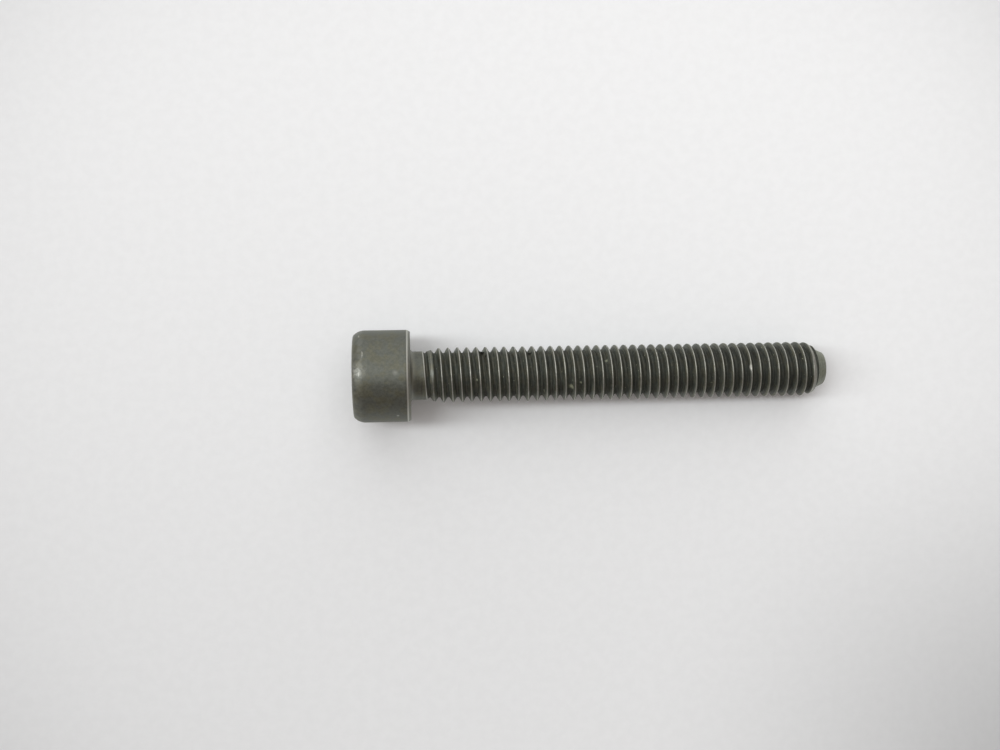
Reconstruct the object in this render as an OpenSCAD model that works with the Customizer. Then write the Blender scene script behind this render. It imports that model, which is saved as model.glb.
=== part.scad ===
// Socket head cap screw with a hexalobular (six-lobed) drive, lying at rest.
// It rests on two points: the lower rim of the head and the last full crest
// of the thread, so its axis slopes down towards the point.
// The screw is first made along +Z, with the underside of the head at z = 0
// and the point upwards, and is laid down only at the very end.

/* [Thread] */
// Nominal thread size
thread_d = 6; // [5:0.5:8]
// Distance from one crest to the next
pitch = 1; // [0.8:0.05:1.25]
// How far the crests stay below the nominal diameter
crest_allowance = 0.12; // [0:0.02:0.2]
// Share of the pitch that is flat on a crest
crest_flat = 0.15; // [0.1:0.01:0.25]
// Share of the pitch that is flat in a root
root_flat = 0.18; // [0.1:0.01:0.25]
// Length from the underside of the head to the end of the point
under_head_len = 44.9; // [25:0.1:60]
// Length over which the first thread rises out of the neck
run_in = 1.8; // [1:0.1:3]

/* [Neck] */
// How far the plain neck stays below the nominal thread diameter
neck_allowance = 0.85; // [0.5:0.05:1.2]
// Length of the plain neck
neck_len = 1.1; // [0.6:0.1:3]
// Fillet where the neck meets the head
neck_fillet = 0.35; // [0.2:0.05:0.5]

/* [Head] */
// Diameter of the head
head_d = 9.8; // [9:0.1:13]
// Height of the head
head_h = 6; // [5:0.1:8]
// Radius of the rounded edge round the top of the head
top_round_r = 1.6; // [1.2:0.1:2.5]
// Height over which that rounded edge runs
top_round_h = 1.2; // [0.4:0.1:1.2]
// Width of the chamfer on the lower rim, measured inwards
rim_chamfer_w = 0.2; // [0.05:0.05:0.4]
// Height of the chamfer on the lower rim
rim_chamfer_h = 0.3; // [0.1:0.05:0.6]

/* [Socket] */
// Drive size across the tips of opposite lobes
lobe_span = 5.6; // [5.3:0.05:6]
// Drive size across opposite waists
waist_span = 4.05; // [3.6:0.05:4.2]
// Radius of each lobe
lobe_r = 0.45; // [0.35:0.05:0.5]
// Depth of the full socket walls
socket_depth = 2.4; // [1:0.1:3]
// Height of the cone below the walls
socket_cone_h = 1; // [0.4:0.1:1.5]
// Width of the countersink round the mouth, measured outwards
mouth_chamfer = 0.25; // [0.1:0.05:0.5]

/* [Point] */
// Length over which the last crests fall away
lead_len = 1.5; // [1:0.1:3]
// How far they have fallen at the end of that length
lead_drop = 0.55; // [0.1:0.05:0.55]
// Length of the nose cone
nose_len = 0.6; // [0.2:0.1:1.2]
// How far the nose cone starts below the thread's root
nose_step = 0.28; // [0:0.02:0.4]
// Slope of the nose cone
nose_angle = 31; // [10:1:45]

/* [Lying] */
// How far the screw is turned about its own axis as it lies
roll = 75; // [0:15:345]
// How far the head is turned on the shank: it then lies on a flat of its mesh
head_turn = 28.22; // [0:0.01:60]

/* [Hidden] */

// Faces of the round forms, and steps in one turn of the thread
$fn = 64;
turn_steps = 24;

// Overlap that joins one form to the next, and a small step that keeps the
// thread mesh clear of the neck's own surface
weld = 0.2;
step_in = 0.03;

// Thread profile: flats along the axis, and 30 degree flanks between them
root_w = pitch * root_flat;
flank_w = pitch * (1 - crest_flat - root_flat) / 2;
profile_at = [0, root_w, root_w + flank_w, pitch - flank_w];
profile_is_crest = [false, false, true, true];

// Radii
head_r = head_d / 2;
crest_r = (thread_d - crest_allowance) / 2;
root_r = crest_r - flank_w / tan(30);
neck_r = (thread_d - neck_allowance) / 2;
nose_r = root_r - nose_step;
point_r = nose_r - nose_len * tan(nose_angle);

// Heights: the thread starts inside the neck and ends where the nose begins
thread_start = neck_len - weld;
nose_z = under_head_len - nose_len;
lead_z = nose_z - lead_len;
turns = floor((nose_z - neck_len) / pitch) - 1;
helix_z = nose_z - (turns + 1) * pitch + root_w / 2;

// Lying at rest: the slope of the axis, the height of the head's underside,
// and how far it is moved so that the middle of the length lies at x = 0
crest_rest_r = crest_r * cos(180 / turn_steps);
rest_tilt = atan((head_r - crest_rest_r) / (lead_z + rim_chamfer_h));
rest_z = head_r * cos(rest_tilt) - rim_chamfer_h * sin(rest_tilt);
top_face_r = head_r - top_round_r + sqrt(top_round_r ^ 2 - top_round_h ^ 2);
middle_x = ((under_head_len - head_h) * cos(rest_tilt) + (point_r - top_face_r) * sin(rest_tilt)) / 2;

// Share of the way from one height to another, held between 0 and 1
function share(z, from, len) = min(max((z - from) / len, 0), 1);
function mixed(a, b, t) = a + (b - a) * t;

// Radius of the thread on a crest or in a root, at height z: it rises out of
// the neck at one end, and falls away towards the nose at the other
function rising_r(z, full_r) = mixed(neck_r - step_in, full_r, share(z, neck_len, run_in));
function falling_r(z) = crest_r - lead_drop * share(z, lead_z, lead_len);
function thread_r(z, is_crest) = min(rising_r(z, is_crest ? crest_r : root_r), falling_r(z));

// Points of the thread: step i round the turn, corner n along the axis
function corner_z(i, n) = helix_z + pitch * (i / turn_steps + floor(n / 4)) + profile_at[n % 4];
function ring_point(i, r, z) =
    let (a = 360 * (i + 0.5) / turn_steps) [r * cos(a), r * sin(a), z];
function thread_point(i, n) =
    let (z = corner_z(i, n)) ring_point(i, thread_r(z, profile_is_crest[n % 4]), z);

// Two triangles between points a, a + 1 of one column and b, b + 1 of the next
function quad(a, b) = [[a, a + 1, b], [b, a + 1, b + 1]];

// The threaded shank as one mesh. Each step round the turn is a column of
// points from the neck to the end of the point, a little higher than the one
// before it. The last column meets the first one turn, or 4 corners, further on.
module threaded_shank() {
    corners = 4 * turns;
    column = corners + 3;
    nose = corners + 1;
    seam = (turn_steps - 1) * column;
    points = [for (i = [0 : turn_steps - 1]) each [
        ring_point(i, neck_r - step_in, thread_start),
        for (n = [0 : corners - 1]) thread_point(i, n),
        ring_point(i, nose_r, nose_z),
        ring_point(i, point_r, under_head_len),
    ]];
    strips = [for (i = [0 : turn_steps - 2], n = [0 : nose])
        each quad(i * column + n, (i + 1) * column + n)];
    seam_strip = [for (n = [1 : corners - 5]) each quad(seam + n, n + 4)];
    seam_start = [[seam, seam + 1, 0], for (n = [0 : 4]) [seam + 1, n + 1, n]];
    seam_end = [for (n = [corners - 4 : corners]) [seam + n, seam + n + 1, corners]];
    seam_nose = [[seam + nose, nose, corners], each quad(seam + nose, nose)];
    ends = [
        [for (i = [0 : turn_steps - 1]) i * column],
        [for (i = [turn_steps - 1 : -1 : 0]) i * column + nose + 1],
    ];
    polyhedron(points, concat(strips, seam_strip, seam_start, seam_end, seam_nose, ends));
}

// Half the section of the head, the fillet and the neck: x is the radius
module blank_section() {
    difference() {
        polygon([[0, -head_h], [head_r, -head_h], [head_r, -rim_chamfer_h],
            [head_r - rim_chamfer_w, 0], [neck_r, 0], [neck_r, neck_len], [0, neck_len]]);
        translate([head_r - top_round_r, top_round_h - head_h]) difference() {
            translate([0, -2 * top_round_r]) square(2 * top_round_r);
            circle(r = top_round_r);
        }
    }
    difference() {
        translate([neck_r - weld, -weld]) square(neck_fillet + weld);
        translate([neck_r + neck_fillet, neck_fillet]) circle(r = neck_fillet);
    }
}

// Outline of the drive: six round lobes, joined by six hollow arcs that touch them
module drive_outline() {
    lobe_x = lobe_span / 2 - lobe_r;
    waist_x = waist_span / 2;
    hollow_r = (lobe_x ^ 2 + waist_x ^ 2 - 2 * lobe_x * waist_x * cos(30) - lobe_r ^ 2)
        / (2 * (lobe_r - waist_x + lobe_x * cos(30)));
    hollow_x = waist_x + hollow_r;
    // Where a lobe touches the hollow arc beside it
    touch_a = atan2(hollow_x * sin(30), hollow_x * cos(30) - lobe_x);
    touch = [lobe_x + lobe_r * cos(touch_a), lobe_r * sin(touch_a)];
    difference() {
        union() {
            polygon([for (k = [0 : 5], side = [-1, 1])
                let (a = 60 * k + side * atan2(touch.y, touch.x)) norm(touch) * [cos(a), sin(a)]]);
            for (k = [0 : 5]) rotate(60 * k) translate([lobe_x, 0]) circle(r = lobe_r);
        }
        for (k = [0 : 5]) rotate(60 * k + 30) translate([hollow_x, 0]) circle(r = hollow_r);
    }
}

// The socket: a countersunk mouth, six-lobed walls and a cone at the bottom
module socket() {
    cone_r = waist_span / 2 - step_in;
    mouth_r = lobe_span / 2 + mouth_chamfer;
    translate([0, 0, -head_h]) {
        translate([0, 0, -weld]) linear_extrude(socket_depth + weld) drive_outline();
        translate([0, 0, socket_depth - step_in]) cylinder(h = socket_cone_h, r1 = cone_r, r2 = 0);
        translate([0, 0, -weld])
            cylinder(h = mouth_r * tan(30) + weld, r1 = mouth_r + weld / tan(30), r2 = 0);
    }
}

// The whole screw in one piece, along +Z
module upright_screw() {
    rotate(head_turn) difference() {
        rotate_extrude() blank_section();
        socket();
    }
    threaded_shank();
}

// The screw as it lies, with its head towards -X
module screw() {
    color("#4a4c44")
        translate([-middle_x, 0, rest_z])
            rotate([0, 90 + rest_tilt, 0])
                rotate(roll) upright_screw();
}

screw();
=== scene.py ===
# %% [markdown]
# # A six-lobe cap screw, dressed around its CAD part
#
# The part is a black cap screw that lies on a sheet of pale paper. The CAD model gives its true
# size, its place and the way it lies. This lesson builds a finer screw in the same place, gives
# it an oiled oxide finish that has worn off the edges, and lights it softly from above.

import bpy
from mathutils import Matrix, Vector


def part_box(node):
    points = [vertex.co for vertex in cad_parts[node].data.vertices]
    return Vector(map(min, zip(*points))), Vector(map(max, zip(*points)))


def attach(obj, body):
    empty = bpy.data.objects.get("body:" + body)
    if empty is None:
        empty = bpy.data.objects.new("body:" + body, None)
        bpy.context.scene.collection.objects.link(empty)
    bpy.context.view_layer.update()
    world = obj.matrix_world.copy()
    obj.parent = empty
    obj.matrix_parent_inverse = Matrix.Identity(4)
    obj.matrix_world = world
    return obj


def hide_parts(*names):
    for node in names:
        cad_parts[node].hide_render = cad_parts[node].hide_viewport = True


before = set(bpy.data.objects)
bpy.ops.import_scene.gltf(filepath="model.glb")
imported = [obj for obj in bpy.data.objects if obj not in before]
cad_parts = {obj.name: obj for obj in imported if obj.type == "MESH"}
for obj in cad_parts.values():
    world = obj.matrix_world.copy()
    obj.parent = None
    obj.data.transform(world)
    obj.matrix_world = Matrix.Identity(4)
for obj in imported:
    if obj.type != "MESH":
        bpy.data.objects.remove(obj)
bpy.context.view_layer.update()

# %% [markdown]
# ## Tools for the bench
#
# Everything is modelled upright in millimetres, with the underside of the head at height zero
# and the point upwards, because a screw is turned on a lathe and its sizes are round numbers
# there. It is brought down to metres and laid on the paper at the very end.
#
# Operators act on whatever is selected, so the helpers below clear the selection first. Two
# heights or radii count as the same when they are less than `CLOSE` apart.

# %% Helpers for objects and selections
import math

import bpy
from mathutils import Matrix, Vector

MM = 0.001
AXIS = (0, 0, 0)
CLOSE = 1e-4


def deselect_all():
    if bpy.context.object and bpy.context.object.mode != "OBJECT":
        bpy.ops.object.mode_set(mode="OBJECT")
    bpy.ops.object.select_all(action="DESELECT")


def only(piece):
    deselect_all()
    piece.select_set(True)
    bpy.context.view_layer.objects.active = piece
    return piece


def apply_modifier(piece, kind, **settings):
    only(piece)
    modifier = piece.modifiers.new(kind.title(), kind)
    for name, value in settings.items():
        setattr(modifier, name, value)
    bpy.ops.object.modifier_apply(modifier=modifier.name)


def select_vertices(piece, wanted):
    """Selects the vertices that wanted(point) picks, and stays in edit mode."""
    only(piece)
    bpy.ops.object.mode_set(mode="EDIT")
    bpy.ops.mesh.select_mode(type="VERT")
    bpy.ops.mesh.select_all(action="DESELECT")
    bpy.ops.object.mode_set(mode="OBJECT")
    for vertex in piece.data.vertices:
        vertex.select = wanted(vertex.co)
    bpy.ops.object.mode_set(mode="EDIT")


def set_radii(piece, radius_at):
    """Moves each vertex in or out, as a lathe would, to radius_at(radius, turn, height)."""
    for vertex in piece.data.vertices:
        x, y, z = vertex.co
        radius = math.hypot(x, y)
        if radius > CLOSE:
            share = radius_at(radius, math.atan2(y, x), z) / radius
            vertex.co = (x * share, y * share, z)


deselect_all()
print("helpers ready, working in millimetres")

# %% [markdown]
# ## Sizes of the screw
#
# It is a metric screw with a coarse thread, cut to 45 mm under the head. The thread has the
# usual 60 degree flanks with a narrow rounded crest and a rounded root, and both lie a little
# inside the nominal size, as a blackened thread does. Names that end in `_R` are radii and names
# that end in `_Z` are heights. The phase is the height of the ridge at turn zero.
#
# The head is a hair smaller than its true 4.9 mm. The CAD head is a polygon, and this round one
# has to stay inside its box. The drive is turned as it is on the CAD part.

# %% Sizes in millimetres
PITCH = 1.0
CREST_R = 2.94
ROOT_R = 2.36
CREST_HALF = 0.06
ROOT_HALF = 0.09
THREAD_PHASE = 0.758

SHANK_LEN = 44.9
NECK_R = 2.575
NECK_LEN = 1.1
NECK_FILLET = 0.35
NOSE_LEN = 1.0
NOSE_R = 2.2
POINT_R = 1.74
LEAD_Z = 42.8
LEAD_DROP = 0.4
NOSE_Z = SHANK_LEN - NOSE_LEN
LEAD_LEN = NOSE_Z - LEAD_Z

HEAD_R = 4.894
HEAD_H = 6.0
RIM_W = 0.2
RIM_H = 0.3
TOP_ROUND_R = 1.6
TOP_ROUND_H = 1.2

LOBE_R = 0.45
LOBE_TIP_R = 2.8
LOBE_X = LOBE_TIP_R - LOBE_R
WAIST_R = 2.025
SOCKET_DEPTH = 2.4
CONE_H = 1.0
MOUTH_R = 3.05
LOBE_TURN = math.radians(103.22)

print("flank depth", round(CREST_R - ROOT_R, 3), "mm on a pitch of", PITCH, "mm")

# %% [markdown]
# ## The thread
#
# A rolled thread is one ridge that climbs one pitch in every turn. The ridge's outline over a
# single pitch is drawn first, as a chain of points pulled out of one vertex. The Screw modifier
# then sweeps that chain round the axis and up it, which is exactly how the ridge is made. It
# gives a cleaner surface than a bent or array-copied ring, because every turn runs into the next.

# %% Outline of one pitch of thread
FLANK_SLOPE = (CREST_R - ROOT_R) / (PITCH / 2 - CREST_HALF - ROOT_HALF)


def flank_r(from_crest):
    return CREST_R - FLANK_SLOPE * (from_crest - CREST_HALF)


half_outline = [
    (0.0, CREST_R),
    (0.035, CREST_R - 0.002),
    (0.06, CREST_R - 0.012),
    (0.09, flank_r(0.09) - 0.004),
    *[(at, flank_r(at)) for at in (0.17, 0.24, 0.31, 0.37)],
    (0.41, ROOT_R + 0.014),
    (0.45, ROOT_R + 0.003),
    (0.5, ROOT_R),
]
rising = [(PITCH / 2 - z, r) for z, r in reversed(half_outline)]
falling = [(PITCH / 2 + z, r) for z, r in half_outline[1:]]
outline = rising + falling
print("outline of one pitch:", len(outline), "points")

# %% Draw the outline and sweep it
TURNS = 47
STEPS = 72
WELD_GAP = 0.001

bpy.ops.mesh.primitive_plane_add(size=0.1)
screw = bpy.context.object
screw.name = "cap_screw"
screw.data.name = "cap_screw"
bpy.ops.object.mode_set(mode="EDIT")
bpy.ops.mesh.merge(type="CENTER")
first_z, first_r = outline[0]
start_z = THREAD_PHASE - PITCH / 2 - PITCH
bpy.ops.transform.translate(value=(first_r, 0, start_z + first_z))
for (z0, r0), (z1, r1) in zip(outline, outline[1:]):
    step = {"value": (r1 - r0, 0, z1 - z0)}
    bpy.ops.mesh.extrude_region_move(TRANSFORM_OT_translate=step)
bpy.ops.object.mode_set(mode="OBJECT")
apply_modifier(
    screw,
    "SCREW",
    axis="Z",
    angle=math.tau,
    screw_offset=PITCH,
    iterations=TURNS,
    steps=STEPS,
    render_steps=STEPS,
)
bpy.ops.object.mode_set(mode="EDIT")
bpy.ops.mesh.select_all(action="SELECT")
bpy.ops.mesh.remove_doubles(threshold=WELD_GAP)
bpy.ops.object.mode_set(mode="OBJECT")
print("thread:", len(screw.data.vertices), "vertices")

# %% [markdown]
# ## Both ends of the thread
#
# The thread is rolled into a plain shank. Near the head the rolls press only a shallow groove,
# and the steel between the grooves has not yet risen to the full crest. At the point the ridge is
# turned down to a cone so that a nut will start, and its very end is bevelled so that no burr
# stands up there. These are changes of radius along the height, so the vertices are moved in and
# out as a tool would, and the ends are then cut off square.

# %% Run-in, lead and square ends
GROOVE_FADE = 0.5
FILL_AT = 1.7
FILL_LEN = 1.45
END_STEP = 0.06
END_SLOPE = 1.6
CUT_GAP = 1e-5


def share(z, start, length):
    return min(max((z - start) / length, 0), 1)


def turned_down(radius, turn, z):
    depth = max(NECK_R - radius, 0) * share(z, NECK_LEN, GROOVE_FADE)
    filled = NECK_R + max(CREST_R - NECK_R, 0) * share(z, FILL_AT, FILL_LEN)
    lead = CREST_R - LEAD_DROP * share(z, LEAD_Z, LEAD_LEN)
    end = NOSE_R + END_STEP + (NOSE_Z - z) * END_SLOPE
    return min(max(radius, NECK_R) - depth, filled, lead, max(end, NOSE_R + END_STEP))


set_radii(screw, turned_down)
for height, below, above in ((NECK_LEN, True, False), (NOSE_Z, False, True)):
    only(screw)
    bpy.ops.object.mode_set(mode="EDIT")
    bpy.ops.mesh.select_all(action="SELECT")
    bpy.ops.mesh.bisect(
        plane_co=(0, 0, height),
        plane_no=(0, 0, 1),
        clear_inner=below,
        clear_outer=above,
        threshold=CUT_GAP,
    )
    bpy.ops.mesh.select_all(action="SELECT")
    bpy.ops.mesh.remove_doubles(threshold=WELD_GAP / 2)
    bpy.ops.object.mode_set(mode="OBJECT")
print("thread between its ends:", len(screw.data.vertices), "vertices")

# %% [markdown]
# ## Rings: the neck, the head and the point
#
# The rest of the screw is turned work, so it is built ring by ring. The last ring is extruded
# in place, scaled about the axis and moved along it. The helper keeps the ring's present radius
# and height, so that a whole section can be written as a list of radii and heights.

# %% A helper that pulls out the next ring
EDGE = 0.012


def pull_rings(section, start):
    """Extrudes the selected ring to each (radius, height) in turn."""
    radius, height = start
    for next_radius, next_height in section:
        bpy.ops.mesh.extrude_region_move()
        scale = next_radius / radius
        bpy.ops.transform.resize(value=(scale, scale, 1), center_override=AXIS)
        bpy.ops.transform.translate(value=(0, 0, next_height - height))
        radius, height = next_radius, next_height


def arc(centre, radius, start, end, steps):
    """Points of an arc in the section, as (radius, height)."""
    turns = [math.radians(start + (end - start) * i / steps) for i in range(steps + 1)]
    return [(centre[0] + radius * math.cos(a), centre[1] + radius * math.sin(a)) for a in turns]


# %% [markdown]
# ### The point
#
# A short cone steps in below the root of the thread and ends in a flat face. The cut edge of the
# thread is pulled in to make the step, and the last ring is merged into one vertex at the centre.

# %% Nose cone and end face
select_vertices(screw, lambda p: abs(p.z - NOSE_Z) < CLOSE)
bpy.ops.mesh.extrude_region_move()
bpy.ops.object.mode_set(mode="OBJECT")
for vertex in screw.data.vertices:
    if vertex.select:
        vertex.co.xy = vertex.co.xy.normalized() * (NOSE_R + EDGE)
bpy.ops.object.mode_set(mode="EDIT")
nose = [
    (NOSE_R, NOSE_Z + EDGE),
    ((NOSE_R + POINT_R) / 2, NOSE_Z + NOSE_LEN / 2),
    (POINT_R + 0.03, SHANK_LEN - 0.05),
    (POINT_R, SHANK_LEN - 0.02),
    (POINT_R - 0.05, SHANK_LEN),
    (POINT_R * 0.6, SHANK_LEN),
    (POINT_R * 0.25, SHANK_LEN),
]
pull_rings(nose, (NOSE_R + EDGE, NOSE_Z))
bpy.ops.mesh.extrude_region_move()
bpy.ops.mesh.merge(type="CENTER")
bpy.ops.object.mode_set(mode="OBJECT")
print("point closed:", len(screw.data.vertices), "vertices")

# %% [markdown]
# ### The head
#
# A cold-headed cap screw has a fillet under the head, a small chamfer on the bearing rim and a
# generous rounding on top. A circle of 180 vertices is the first ring, because the socket's
# six lobes then get thirty vertices each.

# %% Neck, bearing face, rim, side and top of the head
RING = 180
LIP = 0.02
NECK_TOP = NECK_LEN - LIP
bpy.ops.mesh.primitive_circle_add(vertices=RING, radius=NECK_R, location=(0, 0, NECK_TOP))
head = bpy.context.object
head.name = "head"
bpy.ops.object.transform_apply(location=True, rotation=False, scale=False)
bpy.ops.object.mode_set(mode="EDIT")
bpy.ops.mesh.select_all(action="SELECT")

fillet = arc((NECK_R + NECK_FILLET, NECK_FILLET), NECK_FILLET, 180, 270, 6)
rim = [
    (HEAD_R - RIM_W - EDGE, 0),
    (HEAD_R - RIM_W + EDGE, -EDGE),
    (HEAD_R - EDGE, -RIM_H + EDGE),
    (HEAD_R, -RIM_H - EDGE),
]
side_top = -HEAD_H + TOP_ROUND_H
SIDE_RINGS = 14
side = [(HEAD_R, -RIM_H + (side_top + RIM_H) * i / SIDE_RINGS) for i in range(1, SIDE_RINGS)]
crown_end = math.degrees(math.asin(TOP_ROUND_H / TOP_ROUND_R))
crown = arc((HEAD_R - TOP_ROUND_R, side_top), TOP_ROUND_R, 0, -crown_end, 12)
face_r = crown[-1][0]
crown[-1] = (face_r + 0.02, -HEAD_H + 0.018)
face = [(ring_r, -HEAD_H) for ring_r in (face_r - 0.03, 3.9, 3.45, MOUTH_R + LIP)]
bearing = [(ring_r, 0) for ring_r in (3.5, 4.1, 4.5)]
section = fillet + bearing + rim + side + crown + face
pull_rings(section, (NECK_R, NECK_TOP))
print("head section:", len(section), "rings of", RING)

# %% [markdown]
# ### The socket
#
# The drive has six round lobes joined by six hollow arcs. Its outline gives a radius for every
# direction, so each vertex of the next ring slides out to that radius. The mouth is
# countersunk, the walls run straight down, and a drill cone closes the bottom.

# %% Radius of the drive in each direction
HALF_PITCH_OF_LOBES = math.radians(30)
lobe_on_hollow = LOBE_X * math.cos(HALF_PITCH_OF_LOBES)
squares = LOBE_X**2 + WAIST_R**2 - LOBE_R**2
HOLLOW_R = (squares - 2 * WAIST_R * lobe_on_hollow) / (2 * (LOBE_R - WAIST_R + lobe_on_hollow))
HOLLOW_X = WAIST_R + HOLLOW_R
towards_hollow = math.atan2(
    HOLLOW_X * math.sin(HALF_PITCH_OF_LOBES), HOLLOW_X * math.cos(HALF_PITCH_OF_LOBES) - LOBE_X
)
touch_x = LOBE_X + LOBE_R * math.cos(towards_hollow)
touch_turn = math.atan2(LOBE_R * math.sin(towards_hollow), touch_x)


def drive_r(turn):
    period = 2 * HALF_PITCH_OF_LOBES
    from_lobe = abs((turn - LOBE_TURN + period / 2) % period - period / 2)
    if from_lobe < touch_turn:
        reach = LOBE_R**2 - (LOBE_X * math.sin(from_lobe)) ** 2
        return LOBE_X * math.cos(from_lobe) + math.sqrt(reach)
    from_hollow = HALF_PITCH_OF_LOBES - from_lobe
    reach = HOLLOW_R**2 - (HOLLOW_X * math.sin(from_hollow)) ** 2
    return HOLLOW_X * math.cos(from_hollow) - math.sqrt(reach)


print("drive from", round(drive_r(LOBE_TURN), 3), "to", round(WAIST_R, 3), "mm")

# %% Countersunk mouth, lobed walls, ledge and cone
MOUTH_SLOPE = math.tan(math.radians(30))
LEDGE = 0.04


def ring_on_outline(piece, height_at, inset=0.0):
    """Extrudes the selected ring and slides it onto the drive's outline."""
    bpy.ops.mesh.extrude_region_move()
    bpy.ops.object.mode_set(mode="OBJECT")
    for vertex in piece.data.vertices:
        if vertex.select:
            x, y = vertex.co.xy
            turn = math.atan2(y, x)
            radius = drive_r(turn) - inset
            vertex.co = (radius * math.cos(turn), radius * math.sin(turn), height_at(radius))
    bpy.ops.object.mode_set(mode="EDIT")


floor_z = -HEAD_H + SOCKET_DEPTH


def mouth_z(radius):
    return -HEAD_H + (MOUTH_R - radius) * MOUTH_SLOPE


pull_rings([(MOUTH_R - LIP, -HEAD_H + LIP)], (MOUTH_R + LIP, -HEAD_H))
ring_on_outline(head, lambda r: mouth_z(r) - EDGE, inset=-LIP)
ring_on_outline(head, lambda r: mouth_z(r) + LIP)
for depth in (0.9, 1.5, 2.0):
    ring_on_outline(head, lambda r: -HEAD_H + depth)
ring_on_outline(head, lambda r: floor_z - LEDGE)
ring_on_outline(head, lambda r: floor_z, inset=LEDGE)
bpy.ops.mesh.extrude_region_move()
bpy.ops.object.mode_set(mode="OBJECT")
CONE_R = WAIST_R - 0.06
for vertex in head.data.vertices:
    if vertex.select:
        vertex.co.xy = vertex.co.xy.normalized() * CONE_R
        vertex.co.z = floor_z
bpy.ops.object.mode_set(mode="EDIT")
cone = [(CONE_R * k, floor_z + CONE_H * (1 - k)) for k in (0.7, 0.4, 0.15)]
pull_rings(cone, (CONE_R, floor_z))
bpy.ops.mesh.extrude_region_move()
bpy.ops.mesh.merge(type="CENTER")
bpy.ops.object.mode_set(mode="OBJECT")
for vertex in head.data.vertices:
    if vertex.co.xy.length < CLOSE:
        vertex.co.z = floor_z + CONE_H
print("head with socket:", len(head.data.vertices), "vertices")

# %% [markdown]
# ### One closed body
#
# The head and the thread are joined, and the two open rings at the end of the neck are bridged.
# The surface then has no gap anywhere, as forged steel has none.

# %% Join and bridge
deselect_all()
head.select_set(True)
screw.select_set(True)
bpy.context.view_layer.objects.active = screw
bpy.ops.object.join()
only(screw)
bpy.ops.object.mode_set(mode="EDIT")
bpy.ops.mesh.select_mode(type="EDGE")
bpy.ops.mesh.select_all(action="DESELECT")
bpy.ops.mesh.select_non_manifold(extend=False)
bpy.ops.mesh.bridge_edge_loops()
bpy.ops.mesh.select_all(action="SELECT")
bpy.ops.mesh.normals_make_consistent(inside=False)
bpy.ops.object.mode_set(mode="OBJECT")
print("whole screw:", len(screw.data.vertices), "vertices,", len(screw.data.polygons), "faces")

# %% [markdown]
# ### Knocks
#
# Loose screws knock against each other, and the sharp crests take the marks. Each mark here is
# one place on the screw, and the vertices round it are pushed in towards the axis, most at its
# middle. A lump of hard grit in a groove is the same thing with its depth below zero, which
# pushes the groove out. A helper gives the place, by the turn in degrees from the line that faces
# upwards. Each knock is a place, the size round it that moves, and the depth in millimetres.

# %% Push in a few crests and raise two lumps of grit
def on_side(radius, from_top, height):
    turn = math.radians(180 + from_top)
    return Vector((radius * math.cos(turn), radius * math.sin(turn), height))


def knock(piece, place, size, depth):
    moved = 0
    for vertex in piece.data.vertices:
        gap = (vertex.co - place).length / size
        if gap < 1:
            vertex.co.xy -= vertex.co.xy.normalized() * depth * (1 - gap * gap)
            moved += 1
    return moved


knocks = [
    (on_side(ROOT_R, -60, 7.53), 0.45, -0.36),
    (on_side(ROOT_R, -57, 12.61), 0.35, -0.2),
    (on_side(CREST_R, -66, 17.3), 0.3, 0.14),
    (on_side(CREST_R, -72, 21.1), 0.34, 0.18),
    (on_side(CREST_R, -5, 36.2), 0.32, 0.09),
    (on_side(HEAD_R, -4, -1.56), 0.5, 0.02),
    (on_side(HEAD_R, 58, -1.37), 0.3, 0.02),
]
print("vertices moved:", [knock(screw, *mark) for mark in knocks])

# %% [markdown]
# ## Laying it down
#
# The screw rests on the rim of its head and on the last full crest of its thread, so its axis
# slopes a little towards the point. It is scaled to metres and turned onto its side, and then
# moved so that it fills the CAD part's own box.

# %% Scale, turn and place
rest_gap = HEAD_R - CREST_R
TILT = math.atan(rest_gap / (LEAD_Z + RIM_H))
only(screw)
screw.scale = (MM, MM, MM)
screw.rotation_euler = (0, math.radians(90) + TILT, 0)
bpy.ops.object.transform_apply(location=False, rotation=True, scale=True)

cad_low, cad_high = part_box("screw")
xs = [v.co.x for v in screw.data.vertices]
zs = [v.co.z for v in screw.data.vertices]
shift = Vector(((cad_low.x + cad_high.x - min(xs) - max(xs)) / 2, 0, cad_low.z - min(zs)))
screw.location = shift
bpy.ops.object.transform_apply(location=True, rotation=False, scale=False)
HEAD_AT = shift.copy()
print("tilt", round(math.degrees(TILT), 3), "degrees, underside of the head at", list(HEAD_AT))

# %% Shade, ride and replace
SMOOTH_BELOW = math.radians(40)
bpy.ops.object.shade_smooth_by_angle(angle=SMOOTH_BELOW)
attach(screw, "root")
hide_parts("screw")
print("the screw rides on root and stands for the CAD node")

# %% [markdown]
# ## Helpers for materials
#
# A finish that several parts share is kept as a node group with named sockets, so that it can be
# tuned in one place. The two helpers below add a group, and a node inside a tree with its inputs
# given as numbers or as the outputs of other nodes.

# %% Node helpers
def new_group(name, inputs, outputs):
    tree = bpy.data.node_groups.new(name, "ShaderNodeTree")
    for label, kind, value in inputs:
        socket = tree.interface.new_socket(name=label, in_out="INPUT", socket_type=kind)
        socket.default_value = value
    for label, kind in outputs:
        tree.interface.new_socket(name=label, in_out="OUTPUT", socket_type=kind)
    return tree, tree.nodes.new("NodeGroupInput").outputs, tree.nodes.new("NodeGroupOutput").inputs


def node(tree, kind, *values, **settings):
    """Adds a node and fills its inputs in order. A value may be a number or a socket."""
    made = tree.nodes.new("ShaderNode" + kind)
    for name, value in settings.items():
        setattr(made, name, value)
    fill(tree, made, dict(enumerate(values)))
    return made


def fill(tree, made, values):
    for place, value in values.items():
        if value is None:
            continue
        if isinstance(value, bpy.types.NodeSocket):
            tree.links.new(value, made.inputs[place])
        else:
            made.inputs[place].default_value = value


def calc(tree, operation, *values, clamp=False):
    return node(tree, "Math", *values, operation=operation, use_clamp=clamp).outputs[0]


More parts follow.
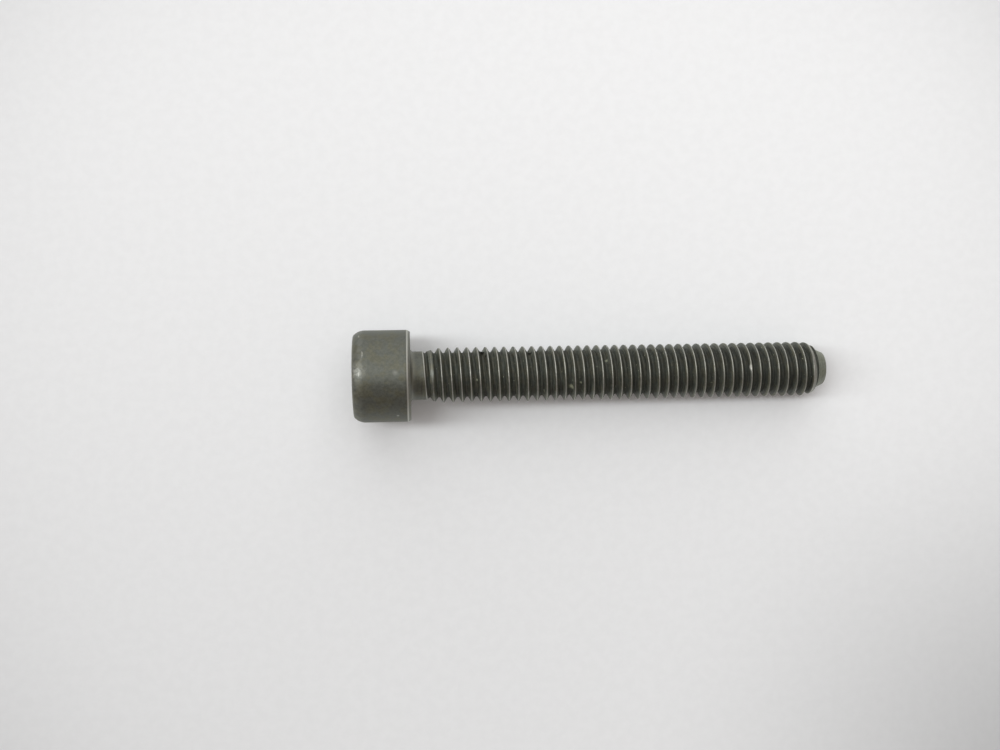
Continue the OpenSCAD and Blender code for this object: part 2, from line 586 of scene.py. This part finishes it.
def product(tree, *factors):
    result = factors[0]
    for factor in factors[1:]:
        result = calc(tree, "MULTIPLY", result, factor)
    return result


def strongest(tree, *masks):
    """The largest of several masks at each place."""
    result = masks[0]
    for mask in masks[1:]:
        result = calc(tree, "MAXIMUM", result, mask)
    return result


def ramp(tree, value, low, high, to_low=0.0, to_high=1.0):
    """Maps a value smoothly from low..high to another range."""
    made = node(tree, "MapRange", value, low, high, to_low, to_high)
    made.interpolation_type = "SMOOTHSTEP"
    return made.outputs[0]


def noise(tree, where, scale, detail=2.0, roughness=0.5):
    made = node(tree, "TexNoise", noise_dimensions="3D")
    fill(tree, made, {"Vector": where, "Scale": scale, "Detail": detail, "Roughness": roughness})
    return made.outputs[0]


def blend_colour(tree, share_of_second, first, second):
    made = node(tree, "Mix", data_type="RGBA")
    tree.links.new(share_of_second, made.inputs[0])
    fill(tree, made, {6: first, 7: second})
    return made.outputs[2]


def toned_by(tree, colour, tone):
    """A colour made lighter or darker by a number that varies about one."""
    made = node(tree, "Mix", data_type="RGBA", blend_type="MULTIPLY")
    made.inputs[0].default_value = 1.0
    tree.links.new(colour, made.inputs[6])
    tree.links.new(tone, made.inputs[7])
    return made.outputs[2]


print("node helpers ready")

# %% [markdown]
# ### Where on the screw
#
# All the finishes follow the lathe axis: how far along it, how far from it and how far round it.
# Object coordinates are in metres and level with the paper, so a Mapping node turns them back to
# the upright screw in millimetres. A noise that reads this point has no seam anywhere. The angle
# is counted from the line that faces upwards, so that its one jump lies underneath.

# %% Group: place on the screw
place_group, _, out = new_group(
    "Place on the screw",
    [],
    [
        ("Point", "NodeSocketVector"),
        ("Along", "NodeSocketFloat"),
        ("Radius", "NodeSocketFloat"),
        ("Around", "NodeSocketFloat"),
    ],
)
coordinates = node(place_group, "TexCoord")
upright = node(place_group, "Mapping", coordinates.outputs["Object"], vector_type="TEXTURE")
upright.inputs["Location"].default_value = HEAD_AT
upright.inputs["Rotation"].default_value = (0, math.radians(90) + TILT, 0)
upright.inputs["Scale"].default_value = (MM, MM, MM)
parts = node(place_group, "SeparateXYZ", upright.outputs[0]).outputs
flat = node(place_group, "CombineXYZ", parts[0], parts[1], 0.0).outputs[0]
place_group.links.new(upright.outputs[0], out["Point"])
place_group.links.new(parts[2], out["Along"])
radius = node(place_group, "VectorMath", flat, operation="LENGTH").outputs["Value"]
place_group.links.new(radius, out["Radius"])
down_side = calc(place_group, "MULTIPLY", parts[0], -1.0)
left_side = calc(place_group, "MULTIPLY", parts[1], -1.0)
place_group.links.new(calc(place_group, "ARCTAN2", left_side, down_side), out["Around"])
print("group:", place_group.name)

# %% [markdown]
# ### Blackened steel
#
# The finish is a thin black oxide that grows into the steel in a hot bath. It keeps the metal's
# sheen, but it is never even: it dries in olive and brown clouds, and the forged skin under it
# has a fine grain. Large soft noise makes the clouds, and small noise makes the grain.

# %% Group: oxide clouds and grain
oxide_group, given, out = new_group(
    "Oxide clouds",
    [
        ("Point", "NodeSocketVector", (0, 0, 0)),
        ("Cool", "NodeSocketColor", (0.09, 0.095, 0.08, 1)),
        ("Warm", "NodeSocketColor", (0.099, 0.098, 0.068, 1)),
        ("Cloud scale", "NodeSocketFloat", 0.9),
        ("Grain scale", "NodeSocketFloat", 3.2),
    ],
    [
        ("Color", "NodeSocketColor"),
        ("Roughness", "NodeSocketFloat"),
        ("Height", "NodeSocketFloat"),
    ],
)
clouds = noise(oxide_group, given["Point"], given["Cloud scale"], 3.0, 0.6)
grain = noise(oxide_group, given["Point"], given["Grain scale"], 4.0, 0.7)
warmth = ramp(oxide_group, clouds, 0.4, 0.62)
tint = blend_colour(oxide_group, warmth, given["Cool"], given["Warm"])
tone = ramp(oxide_group, grain, 0.3, 0.7, 0.76, 1.24)
oxide_group.links.new(toned_by(oxide_group, tint, tone), out["Color"])
oxide_group.links.new(ramp(oxide_group, grain, 0.3, 0.7, 0.42, 0.54), out["Roughness"])
oxide_group.links.new(grain, out["Height"])
print("group:", oxide_group.name)

# %% [markdown]
# ### Bright wear
#
# Oxide is only a few thousandths of a millimetre thick, so it rubs off wherever the screw
# touches something: the rim of the head, the edge of its top and the crests of the thread.
# The wear is strongest on the edge itself and breaks up into patches beside it.

# %% Group: worn edge
wear_group, given, out = new_group(
    "Worn edge",
    [
        ("Point", "NodeSocketVector", (0, 0, 0)),
        ("Distance", "NodeSocketFloat", 1.0),
        ("Width", "NodeSocketFloat", 0.05),
        ("Patch scale", "NodeSocketFloat", 3.0),
        ("Evenness", "NodeSocketFloat", 0.6),
    ],
    [("Mask", "NodeSocketFloat")],
)
patches = ramp(wear_group, noise(wear_group, given["Point"], given["Patch scale"], 4.0), 0.35, 0.65)
near = calc(wear_group, "DIVIDE", given["Distance"], given["Width"])
near = ramp(wear_group, near, 1.0, 0.2)
kept = calc(wear_group, "MAXIMUM", patches, given["Evenness"])
wear_group.links.new(calc(wear_group, "MULTIPLY", near, kept, clamp=True), out["Mask"])
print("group:", wear_group.name)

# %% [markdown]
# ### Dust
#
# A screw that has lain in a drawer carries lint and dust, caught mostly in the grooves. Only the
# tops of a fine noise are kept, so the specks are small, rare and of different sizes.

# %% Group: dust specks
SPECK_SHARPNESS = 40.0

dust_group, given, out = new_group(
    "Dust specks",
    [
        ("Point", "NodeSocketVector", (0, 0, 0)),
        ("Size", "NodeSocketFloat", 5.0),
        ("Rarity", "NodeSocketFloat", 0.77),
    ],
    [("Mask", "NodeSocketFloat")],
)
field = noise(dust_group, given["Point"], given["Size"], 1.0, 0.4)
sharp = calc(dust_group, "SUBTRACT", field, given["Rarity"])
sharp = calc(dust_group, "MULTIPLY", sharp, SPECK_SHARPNESS, clamp=True)
dust_group.links.new(sharp, out["Mask"])
print("group:", dust_group.name)

# %% [markdown]
# ### Nicks
#
# Where the steel was knocked or rubbed, the oxide is gone. A nick is a small round spot at one
# place on the screw. The group gives a soft spot that serves as a mask for the colour. The
# same group also places the patch on the head that is partly rubbed and partly a painted
# highlight, the larger crumbs of lint and the grit.

# %% Group: one nick
nick_group, given, out = new_group(
    "Nick",
    [
        ("Point", "NodeSocketVector", (0, 0, 0)),
        ("Centre", "NodeSocketVector", (0, 0, 0)),
        ("Size", "NodeSocketFloat", 0.3),
    ],
    [("Mask", "NodeSocketFloat")],
)
gap = node(nick_group, "VectorMath", given["Point"], given["Centre"], operation="DISTANCE")
gap = calc(nick_group, "DIVIDE", gap.outputs["Value"], given["Size"])
nick_group.links.new(ramp(nick_group, gap, 1.0, 0.0), out["Mask"])
print("group:", nick_group.name)

# %% [markdown]
# ### Scratches
#
# A scratch is a thin straight line between two places. The group measures how far the surface is
# from that line: it finds the nearest point on it, held between the two ends.

# %% Group: one scratch
scratch_group, given, out = new_group(
    "Scratch",
    [
        ("Point", "NodeSocketVector", (0, 0, 0)),
        ("From", "NodeSocketVector", (0, 0, 0)),
        ("To", "NodeSocketVector", (0, 0, 1)),
        ("Width", "NodeSocketFloat", 0.1),
    ],
    [("Mask", "NodeSocketFloat")],
)


def vector_math(tree, operation, *values):
    return node(tree, "VectorMath", *values, operation=operation).outputs


whole = vector_math(scratch_group, "SUBTRACT", given["To"], given["From"])[0]
reached = vector_math(scratch_group, "SUBTRACT", given["Point"], given["From"])[0]
whole_squared = vector_math(scratch_group, "DOT_PRODUCT", whole, whole)["Value"]
reached_along = vector_math(scratch_group, "DOT_PRODUCT", reached, whole)["Value"]
part_way = calc(scratch_group, "DIVIDE", reached_along, whole_squared, clamp=True)
part_way = node(scratch_group, "CombineXYZ", part_way, part_way, part_way).outputs[0]
nearest = vector_math(scratch_group, "MULTIPLY", whole, part_way)[0]
away = vector_math(scratch_group, "DISTANCE", reached, nearest)["Value"]
away = calc(scratch_group, "DIVIDE", away, given["Width"])
broken = ramp(scratch_group, noise(scratch_group, given["Point"], 2.5, 3.0, 0.6), 0.25, 0.55)
line = ramp(scratch_group, away, 1.0, 0.1)
scratch_group.links.new(calc(scratch_group, "MULTIPLY", line, broken), out["Mask"])
print("group:", scratch_group.name)

# %% [markdown]
# ## The finish of each part
#
# The parts share the groups above but not their settings. A helper starts a material with its
# shader and the place on the screw. The faces are painted once all four finishes are made.

# %% Helpers that start and fill a finish
OXIDE_IOR = 2.0
OXIDE_TINT = (0.965, 1.0, 0.95, 1)


def start_finish(name):
    material = bpy.data.materials.new(name)
    material.use_nodes = True
    tree = material.node_tree
    shader = tree.nodes["Principled BSDF"]
    shader.inputs["IOR"].default_value = OXIDE_IOR
    shader.inputs["Specular Tint"].default_value = OXIDE_TINT
    place = tree.nodes.new("ShaderNodeGroup")
    place.node_tree = place_group
    return material, tree, shader, place.outputs


def use_group(tree, group, **values):
    made = tree.nodes.new("ShaderNodeGroup")
    made.node_tree = group
    fill(tree, made, {name.replace("_", " "): value for name, value in values.items()})
    return made.outputs


def mix_numbers(tree, share_of_second, first, second):
    made = node(tree, "Mix", data_type="FLOAT")
    fill(tree, made, {0: share_of_second, 2: first, 3: second})
    return made.outputs[0]


def bump(tree, shader, height, distance):
    made = node(tree, "Bump")
    fill(tree, made, {"Strength": 1.0, "Distance": distance, "Height": height})
    tree.links.new(made.outputs[0], shader.inputs["Normal"])


def near_line(tree, value, line):
    """How far a value is from a line, in millimetres."""
    return calc(tree, "ABSOLUTE", calc(tree, "SUBTRACT", value, line))


# Bright bare steel for wear. On the head it also makes the painted highlight on the top and the
# painted light under the head.
POLISHED_AND_HIGHLIGHT = (0.5, 0.5, 0.46, 1)
GRAIN_DEPTH = 0.008 * MM
print("finish helpers ready")

# %% [markdown]
# ### Head
#
# The head is forged and then only blackened, so its side keeps olive clouds. The rim is rubbed
# bright all round. The rounded top has one bright patch that faces upwards, which is partly wear
# and partly a painted highlight. A weak painted light lifts the shade in the fillet under the
# head. Other screws have left a thin bent scratch and two small dents on it.

# %% Finish of the head
DARK_METAL = 0.6
WORN_METAL = 0.9

head_finish, tree, shader, place = start_finish("blackened_head")
point = place["Point"]
oxide = use_group(tree, oxide_group, Point=point)
rim_gap = near_line(tree, place["Along"], -RIM_H)
rim_wear = use_group(tree, wear_group, Point=point, Distance=rim_gap, Width=0.13, Evenness=0.95)
# A weak bright share on the bearing face and the fillet under the head is painted light. It lifts
# the shade there.
past_rim = ramp(tree, place["Along"], -RIM_H - 0.02, -RIM_H + 0.05)
painted_light_under_head = product(tree, past_rim, ramp(tree, place["Along"], 0.15, 0.7, 0.2, 0.0))
on_crown = ramp(tree, place["Along"], side_top + 0.1, side_top - 0.5)
crown_tone = noise(tree, point, 1.1, 4.0, 0.65)
crown_share = product(tree, on_crown, ramp(tree, crown_tone, 0.35, 0.7, 0.0, 0.16))
face_gap = near_line(tree, place["Radius"], face_r + 0.05)
face_edge = use_group(tree, wear_group, Point=point, Distance=face_gap, Width=0.16, Evenness=0.6)
face_share = product(tree, face_edge["Mask"], on_crown, 0.3)
bend_at = on_side(HEAD_R, -28, -4.87)
scratches = []
for end in (on_side(HEAD_R, -64, -5.36), on_side(HEAD_R, 0, -5.3)):
    ends = {"From": end, "To": bend_at}
    scratch = use_group(tree, scratch_group, Point=point, Width=0.13, **ends)
    scratches.append(product(tree, scratch["Mask"], 0.6))
# A bright patch on the rounded top, where it faces upwards: partly rubbed wear, partly a painted
# highlight.
crown_rub_and_highlight = use_group(tree, nick_group, Point=point, Centre=on_side(4.6, -6, -5.6), Size=1.5)
rub_and_highlight_tone = ramp(tree, noise(tree, point, 2.6, 4.0, 0.7), 0.36, 0.62, 0.02, 0.45)
rubbed_and_highlight = product(tree, crown_rub_and_highlight["Mask"], rub_and_highlight_tone)
dent = use_group(tree, nick_group, Point=point, Centre=on_side(HEAD_R, -4, -1.56), Size=0.4)
nick = use_group(tree, nick_group, Point=point, Centre=on_side(HEAD_R, 58, -1.37), Size=0.2)
dents = product(tree, strongest(tree, product(tree, dent["Mask"], 0.3), nick["Mask"]), 0.7)
edge_wear_and_painted_light = strongest(tree, rim_wear["Mask"], crown_share, painted_light_under_head, face_share)
# The head's wear mask also carries the painted highlight on the top and the painted light under the
# head.
wear = strongest(tree, edge_wear_and_painted_light, *scratches, rubbed_and_highlight, dents)
colour = blend_colour(tree, wear, oxide["Color"], POLISHED_AND_HIGHLIGHT)
tree.links.new(colour, shader.inputs["Base Color"])
tree.links.new(mix_numbers(tree, wear, DARK_METAL, WORN_METAL), shader.inputs["Metallic"])
tree.links.new(oxide["Roughness"], shader.inputs["Roughness"])
bump(tree, shader, oxide["Height"], GRAIN_DEPTH)
screw.data.materials.clear()
screw.data.materials.append(head_finish)
print("finish:", head_finish.name)

# %% [markdown]
# ### Point
#
# The point is turned to a cone after the thread is rolled, so its skin is thinner and paler than
# the head's. The tool leaves faint rings on it, drawn as a noise that reads only the height.

# %% Finish of the point
RINGS_PER_MM = 6.0
POINT_METAL = 0.5

point_finish, tree, shader, place = start_finish("turned_point")
oxide = use_group(
    tree,
    oxide_group,
    Point=place["Point"],
    Cool=(0.2, 0.216, 0.176, 1),
    Warm=(0.19, 0.2, 0.152, 1),
    Grain_scale=5.0,
)
rings_at = node(tree, "CombineXYZ", 0.0, 0.0, product(tree, place["Along"], RINGS_PER_MM))
rings = noise(tree, rings_at.outputs[0], 1.0, 2.0, 0.6)
ringed = toned_by(tree, oxide["Color"], ramp(tree, rings, 0.35, 0.65, 0.8, 1.2))
tree.links.new(ringed, shader.inputs["Base Color"])
shader.inputs["Metallic"].default_value = POINT_METAL
tree.links.new(oxide["Roughness"], shader.inputs["Roughness"])
bump(tree, shader, rings, GRAIN_DEPTH)
screw.data.materials.append(point_finish)
print("finish:", point_finish.name)

# %% [markdown]
# ### Thread
#
# The crests are the only part of the thread that touches anything, so they are bright. The
# grooves between them are duller, with dust in them and painted shade in the root. The section
# of the thread repeats along a helix, and so does its finish: it reads the height less the share
# of a turn.
#
# The rolls also leave fine marks that run round the screw. They are drawn as a noise that is
# stretched along the turns: it changes quickly across the groove and slowly along it.

# %% Group: on the thread
MARKS_PER_MM = 9.0

ridge_group, given, out = new_group(
    "On the thread",
    [
        ("Along", "NodeSocketFloat", 0.0),
        ("Around", "NodeSocketFloat", 0.0),
    ],
    [
        ("On helix", "NodeSocketFloat"),
        ("From crest", "NodeSocketFloat"),
        ("Marks", "NodeSocketFloat"),
    ],
)
rise = calc(ridge_group, "MULTIPLY", given["Around"], PITCH / math.tau)
on_helix = calc(ridge_group, "SUBTRACT", given["Along"], rise)
from_phase = calc(ridge_group, "SUBTRACT", on_helix, THREAD_PHASE + PITCH / 2)
across_groove = product(ridge_group, on_helix, MARKS_PER_MM)
marks_at = node(ridge_group, "CombineXYZ", across_groove, given["Around"], 0.0)
ridge_group.links.new(on_helix, out["On helix"])
ridge_group.links.new(calc(ridge_group, "PINGPONG", from_phase, PITCH / 2), out["From crest"])
ridge_group.links.new(noise(ridge_group, marks_at.outputs[0], 1.0, 3.0, 0.6), out["Marks"])
print("group:", ridge_group.name)


# %% [markdown]
# ### Grit
#
# A few spots of dark oily grit have stuck in the grooves and over the crests beside them. Each is
# a place and a size. Two of them are also the lumps that were raised in the metal above. Both
# finishes of the thread use the same mask, so that a spot runs on over the crest.

# %% Marks of the rolls and spots of grit
GRIT = (0.02, 0.02, 0.017, 1)
grit_spots = [
    (-60, 7.53, 0.55),
    (-45, 8.07, 0.3),
    (-57, 12.61, 0.42),
    (-62, 17.2, 0.4),
    (-67, 18.6, 0.26),
    (-71, 21.65, 0.26),
]


def marked_oxide(tree, oxide, marks, low, high):
    return toned_by(tree, oxide["Color"], ramp(tree, marks, 0.32, 0.68, low, high))


def spots(tree, point, radius, places):
    """One mask for spots at (turn from the top, height, size), at one radius."""
    masks = []
    for from_top, height, size in places:
        centre = on_side(radius, from_top, height)
        masks.append(use_group(tree, nick_group, Point=point, Centre=centre, Size=size)["Mask"])
    return strongest(tree, *masks)


def grit_mask(tree, point):
    full = spots(tree, point, ROOT_R + 0.3, grit_spots)
    return calc(tree, "MULTIPLY", full, 1.6, clamp=True)


print("grit in", len(grit_spots), "places")

# %% Finish of the crests
LEAD_WIDENING = LEAD_DROP / LEAD_LEN / FLANK_SLOPE
MARK_DEPTH = 0.005 * MM

crest_finish, tree, shader, place = start_finish("rubbed_crests")
point = place["Point"]
ridge = use_group(tree, ridge_group, Along=place["Along"], Around=place["Around"])
oxide = use_group(tree, oxide_group, Point=point)
dark = marked_oxide(tree, oxide, ridge["Marks"], 0.8, 1.25)
past_lead = strongest(tree, calc(tree, "SUBTRACT", place["Along"], LEAD_Z), 0.0)
widened = product(tree, past_lead, LEAD_WIDENING)
from_flat = calc(tree, "SUBTRACT", ridge["From crest"], widened)
crest_wear = use_group(tree, wear_group, Point=point, Distance=from_flat, Width=0.062, Evenness=0.7)
filled = ramp(tree, place["Along"], FILL_AT, FILL_AT + FILL_LEN)
fresh_cut = ramp(tree, place["Along"], LEAD_Z + 0.3, NOSE_Z, 1.0, 0.5)
wear = product(tree, crest_wear["Mask"], filled, fresh_cut)
ding = use_group(tree, nick_group, Point=point, Centre=on_side(CREST_R, -5, 36.2), Size=0.42)
ding = calc(tree, "MULTIPLY", ding["Mask"], 2.0, clamp=True)
grit = grit_mask(tree, point)
wear = product(tree, strongest(tree, wear, ding), calc(tree, "SUBTRACT", 1.0, grit))
dark = blend_colour(tree, grit, dark, GRIT)
tree.links.new(blend_colour(tree, wear, dark, POLISHED_AND_HIGHLIGHT), shader.inputs["Base Color"])
metal = mix_numbers(tree, wear, DARK_METAL, WORN_METAL)
tree.links.new(mix_numbers(tree, grit, metal, 1.0), shader.inputs["Metallic"])
tree.links.new(oxide["Roughness"], shader.inputs["Roughness"])
bump(tree, shader, ridge["Marks"], MARK_DEPTH)
screw.data.materials.append(crest_finish)
print("finish:", crest_finish.name)

# %% [markdown]
# ### Grooves
#
# The grooves are darkest at the root, where the dark tone is painted shade, and they grow darker
# towards the point. A thin bright lip runs round the first turn only, where the thread starts out
# of the neck: it is measured from one line on the helix and doesn't repeat. Lint and crumbs lie
# over it all.

# %% Finish of the grooves
GROOVE_IOR = 1.7
GROOVE_METAL = 0.5
DIRT_DEPTH = 0.01 * MM
# The dark tone is painted into the root as shade. More of it is also blended in towards the point.
GROOVE_DARK_TONE = (0.02, 0.02, 0.018, 1)
LINT = (0.42, 0.44, 0.31, 1)
LIP_AT = 0.24

groove_finish, tree, shader, place = start_finish("dull_grooves")
shader.inputs["IOR"].default_value = GROOVE_IOR
point = place["Point"]
ridge = use_group(tree, ridge_group, Along=place["Along"], Around=place["Around"])
oxide = use_group(
    tree,
    oxide_group,
    Point=point,
    Cool=(0.078, 0.087, 0.073, 1),
    Warm=(0.086, 0.085, 0.063, 1),
    Cloud_scale=1.6,
)
dull = marked_oxide(tree, oxide, ridge["Marks"], 0.5, 1.7)
lip_gap = near_line(tree, ridge["On helix"], THREAD_PHASE + PITCH / 2 + LIP_AT)
lip_wear = use_group(tree, wear_group, Point=point, Distance=lip_gap, Width=0.075, Evenness=0.9)
crumbs = [
    (36, 17.03, 0.42),
    (12, 17.8, 0.16),
    (25, 17.93, 0.2),
    (13, 6.94, 0.2),
    (-30, 20.73, 0.24),
    (-15, 19.7, 0.18),
    (46, 14.16, 0.22),
    (11, 14.13, 0.16),
]
dust = use_group(tree, dust_group, Point=point)
lint = strongest(tree, dust["Mask"], spots(tree, point, ROOT_R + 0.12, crumbs))
# The root of each groove takes more of the dark tone as painted shade. The thread also grows darker
# towards the point.
towards_point = ramp(tree, place["Along"], 8.0, 40.0, 1.0, 0.55)
in_root = ramp(tree, ridge["From crest"], 0.3, 0.44)
kept_dull = product(tree, towards_point, ramp(tree, in_root, 0.0, 1.0, 1.0, 0.6))
dull = blend_colour(tree, kept_dull, GROOVE_DARK_TONE, dull)
grit = grit_mask(tree, point)
lip = product(tree, lip_wear["Mask"], calc(tree, "SUBTRACT", 1.0, grit))
worn = blend_colour(tree, lip, blend_colour(tree, grit, dull, GRIT), POLISHED_AND_HIGHLIGHT)
colour = blend_colour(tree, lint, worn, LINT)
tree.links.new(colour, shader.inputs["Base Color"])
metal = mix_numbers(tree, grit, mix_numbers(tree, lip, GROOVE_METAL, WORN_METAL), 1.0)
tree.links.new(mix_numbers(tree, lint, metal, 0.0), shader.inputs["Metallic"])
tree.links.new(mix_numbers(tree, in_root, 0.5, 0.8), shader.inputs["Roughness"])
heights = calc(tree, "ADD", product(tree, oxide["Height"], 0.5), ridge["Marks"])
bump(tree, shader, calc(tree, "ADD", heights, lint), DIRT_DEPTH)
screw.data.materials.append(groove_finish)
print("finish:", groove_finish.name, "with", len(crumbs), "crumbs")

# %% [markdown]
# ### Which face gets which finish
#
# Each face is turned back to the upright screw. Its height tells the head and the point from the
# thread, and its distance from the ridge line tells a crest from a groove. The lead-in widens
# the crests, because the tool cuts them lower and lower down the flanks.

# %% Paint the faces
back_upright = Matrix.Rotation(math.radians(90) + TILT, 3, "Y").inverted()
HEAD_SLOT, POINT_SLOT, CREST_SLOT, GROOVE_SLOT = range(4)
CREST_SHARE = 0.17
ON_STEP = 0.005


def slot_of(point):
    """The slot for a face, from where it lies across the ridge of the thread."""
    upright_point = back_upright @ (point - HEAD_AT) / MM
    if upright_point.z < NECK_LEN:
        return HEAD_SLOT
    if upright_point.z > NOSE_Z - ON_STEP:
        return POINT_SLOT
    turn = math.atan2(upright_point.y, upright_point.x)
    phase = (upright_point.z - THREAD_PHASE) / PITCH - turn / math.tau
    from_crest = abs((phase + 0.5) % 1 - 0.5)
    crest_half = CREST_SHARE + max(upright_point.z - LEAD_Z, 0) * LEAD_WIDENING
    return CREST_SLOT if from_crest < crest_half else GROOVE_SLOT


for polygon in screw.data.polygons:
    polygon.material_index = slot_of(polygon.center)
painted = [polygon.material_index for polygon in screw.data.polygons]
print("faces painted:", [painted.count(slot) for slot in range(4)])

# %% [markdown]
# ## Light, camera and paper
#
# The screw lies on pale matt paper in a bright room. Two large panels stand for the pale ceiling
# and the wall behind: they lay an even sheen along the far side of the steel, which ends sharply
# at the top of the shank. A long lamp hangs up to the left and reaches almost overhead. It throws
# the soft shadow of the head to the right, and keeps the one along the shank short and dark. The
# camera looks almost straight down.
#
# A light is given by its name, how far it leans to the right and to the far side in degrees, its
# distance and size in metres, and its radiance.

# %% Sky, two panels and a long lamp
LAMP_WHITE = (0.98, 1.0, 1.0)
SKY_COLOUR = (1.13, 0.98, 0.89, 1)
SKY_STRENGTH = 0.23

world = bpy.data.worlds.new("even_sky")
world.use_nodes = True
sky = world.node_tree.nodes["Background"]
sky.inputs["Color"].default_value = SKY_COLOUR
sky.inputs["Strength"].default_value = SKY_STRENGTH
bpy.context.scene.world = world


def hang_light(name, lean_right, lean_far, distance, size, radiance):
    """Adds an area light that faces the screw, leaning so many degrees off the vertical."""
    bpy.ops.object.light_add(type="AREA")
    light = bpy.context.object
    light.name = name
    light.data.shape = "RECTANGLE"
    light.data.size, light.data.size_y = size
    light.data.energy = radiance * math.pi * size[0] * size[1]
    light.data.color = LAMP_WHITE
    turned = Matrix.Rotation(math.radians(lean_right), 3, "Y")
    turned = Matrix.Rotation(math.radians(-lean_far), 3, "X") @ turned
    light.matrix_world = turned.to_4x4()
    light.location = turned @ Vector((0, 0, distance))
    print(name, "at", [round(value, 3) for value in light.location])


hang_light("ceiling_panel", 0, 17, 1.0, (1.3, 0.89), 1.1)
hang_light("wall_panel", 0, 65, 1.0, (1.2, 0.89), 1.08)
hang_light("long_lamp", -38, 8, 3.0, (2.8, 0.45), 10.2)

# %% [markdown]
# ### Camera
#
# The camera is placed from the underside of the head, in millimetres along the screw, across it
# and away from it, and turned by two small angles against the screw's own axes.

# %% Camera
CAMERA_AT = (0.49, 0.066, 115.03)
LENS = 38.71
TURN_IN_VIEW = -0.0183
TURN_ALONG = -0.0787

lengthways = Vector((math.cos(TILT), 0, -math.sin(TILT)))
sideways = Vector((0, 1, 0))
outwards = Vector((math.sin(TILT), 0, math.cos(TILT)))
bench = Matrix((lengthways, sideways, outwards)).transposed()
camera_data = bpy.data.cameras.new("camera")
camera_data.sensor_width = 36
camera_data.lens = LENS
camera = bpy.data.objects.new("camera", camera_data)
bpy.context.scene.collection.objects.link(camera)
turn = Matrix.Rotation(TURN_IN_VIEW, 3, "Z") @ Matrix.Rotation(TURN_ALONG, 3, "Y")
camera.matrix_world = (bench @ turn).to_4x4()
camera.location = HEAD_AT + (bench @ Vector(CAMERA_AT)) * MM
bpy.context.scene.camera = camera
bpy.context.scene.view_settings.view_transform = "Standard"
looking = (bench @ turn) @ Vector((0, 0, -1))
AIM = camera.location - looking * (camera.location.z / looking.z)
print("camera looks at", [round(value / MM, 1) for value in AIM], "mm")

# %% [markdown]
# ### Paper
#
# Paper under a lamp is never evenly bright, and the lamps give it most of its shading. The rest is
# painted round the place that the camera looks at. It is a little darker on the near side, on the
# lamp's side, at the edges and most of all in the near right corner, with a faint fibre noise over
# it. A hair less red and more blue keeps it neutral under this light.

# %% Paper
PAPER_SIZE = 4.0
VIEW_REACH = 70.0
NEAR_CORNER = (58.0, -46.0, 0.0)
LESS_RED = 0.983
MORE_BLUE = 1.021

bpy.ops.mesh.primitive_plane_add(size=PAPER_SIZE, location=(0, 0, 0))
paper = bpy.context.object
paper.name = "paper"
paper_finish = bpy.data.materials.new("pale_paper")
paper_finish.use_nodes = True
tree = paper_finish.node_tree
shader = tree.nodes["Principled BSDF"]
sheet = node(tree, "Mapping", node(tree, "TexCoord").outputs["Object"], vector_type="TEXTURE")
sheet.inputs["Location"].default_value = AIM
sheet.inputs["Scale"].default_value = (MM, MM, MM)
across = node(tree, "SeparateXYZ", sheet.outputs[0]).outputs
far_side = ramp(tree, across[1], -45.0, 45.0, 0.8, 0.93)
from_lamp = ramp(tree, across[0], -60.0, 60.0, 0.98, 1.04)
reach = node(tree, "VectorMath", sheet.outputs[0], operation="LENGTH").outputs["Value"]
reach = calc(tree, "DIVIDE", reach, VIEW_REACH, clamp=True)
falloff = product(tree, calc(tree, "POWER", reach, 6.0), 0.15)
edges = calc(tree, "SUBTRACT", 1.0, falloff)
corner = node(tree, "VectorMath", sheet.outputs[0], NEAR_CORNER, operation="DISTANCE")
near_corner = ramp(tree, corner.outputs["Value"], 0.0, 45.0, 0.76, 1.0)
fibres = noise(tree, sheet.outputs[0], 0.9, 3.0, 0.6)
fibre_tone = ramp(tree, fibres, 0.3, 0.7, 0.988, 1.012)
tone = product(tree, far_side, from_lamp, edges, near_corner, fibre_tone)
red = product(tree, tone, LESS_RED)
blue = product(tree, tone, MORE_BLUE)
tinted = node(tree, "CombineColor", red, tone, blue)
tree.links.new(tinted.outputs[0], shader.inputs["Base Color"])
shader.inputs["Roughness"].default_value = 0.9
shader.inputs["Specular IOR Level"].default_value = 0.2
paper.data.materials.append(paper_finish)
print("paper laid round", [round(value / MM, 1) for value in AIM])
